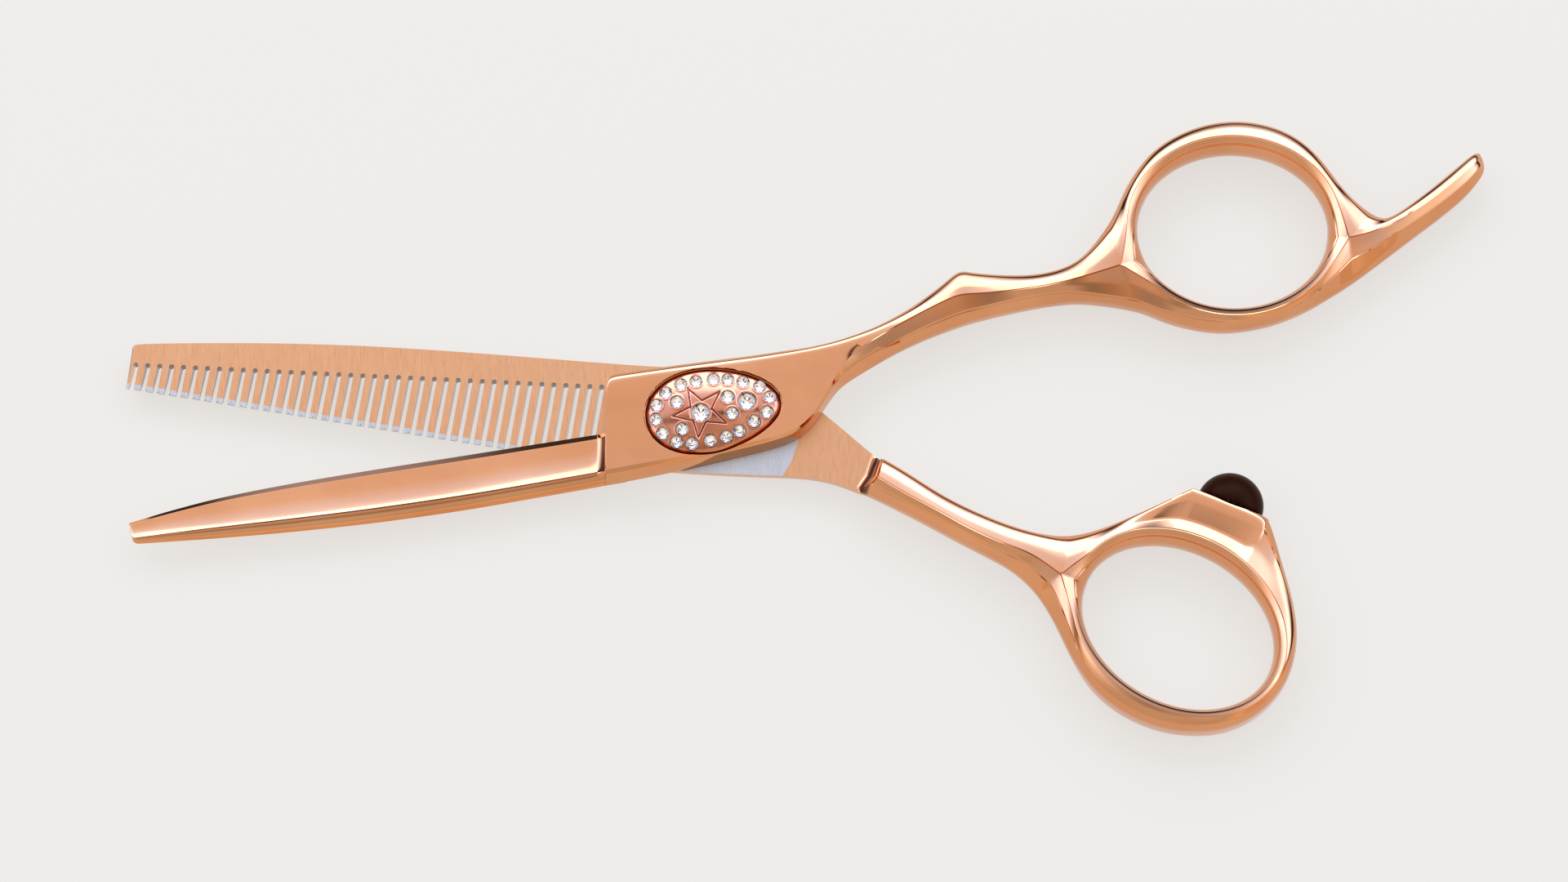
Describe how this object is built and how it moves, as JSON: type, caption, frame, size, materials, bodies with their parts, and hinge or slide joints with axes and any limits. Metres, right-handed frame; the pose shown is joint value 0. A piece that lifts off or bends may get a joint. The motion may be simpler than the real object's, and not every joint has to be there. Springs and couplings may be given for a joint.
{
  "type": "hair thinning shears",
  "caption": "Thinning shears with a comb blade, a plain blade, an offset handle with a fixed finger rest, a bumper and a crystal-set cap over the pivot.",
  "frame": {"origin": "on the pivot axis, at the flat face of the tension nut that the shears lie on", "axes": "+Z along the pivot axis towards the crystal cap, +X towards the handles, +Y towards the finger ring, tips towards -X"},
  "size_m": [0.1655, 0.0764, 0.0072],
  "materials": {
    "polished_rose": "mirror-polished rose gold plating",
    "brushed_rose": "satin brushed rose gold plating, bare steel tooth tips",
    "copper_cap": "polished copper-red plating",
    "steel": "turned stainless steel",
    "crystal": "faceted, foil-backed",
    "bumper_plastic": "glossy dark brown"
  },
  "bodies": {
    "finger_half": {"plain_blade": "polished_rose", "finger_handle": "polished_rose", "pivot_bolt": "steel", "jewel_plate": "copper_cap", "thrust_washer": "steel", "spring_washer": "steel", "crystal_star": "crystal", "crystal_large": "crystal", "crystal_rim_1": "crystal", "crystal_rim_2": "crystal", "crystal_rim_3": "crystal", "crystal_rim_4": "crystal", "crystal_rim_5": "crystal", "crystal_rim_6": "crystal", "crystal_rim_7": "crystal", "crystal_rim_8": "crystal", "crystal_rim_9": "crystal", "crystal_rim_10": "crystal", "crystal_rim_11": "crystal", "crystal_rim_12": "crystal", "crystal_rim_13": "crystal", "crystal_rim_14": "crystal", "crystal_rim_15": "crystal", "crystal_rim_16": "crystal", "crystal_rim_17": "crystal", "crystal_rim_18": "crystal", "crystal_inner_1": "crystal", "crystal_inner_2": "crystal", "crystal_inner_3": "crystal", "crystal_inner_4": "crystal"},
    "thumb_half": {"comb_blade": "brushed_rose", "thumb_handle": "polished_rose", "pivot_bush": "steel", "bumper": "bumper_plastic", "bumper_screw": "steel"},
    "tension_nut": {"tension_nut": "polished_rose"}
  },
  "joints": [
    {"name": "blade_pivot", "type": "hinge", "parent": "finger_half", "child": "thumb_half", "pos_m": [0, 0, 0], "axis": [0, 0, -1], "range_deg": [-15.2, 75]},
    {"name": "tension_turn", "type": "hinge", "parent": "finger_half", "child": "tension_nut", "pos_m": [0, 0, 0], "axis": [0, 0, -1], "range_deg": [-90, 90]}
  ]
}
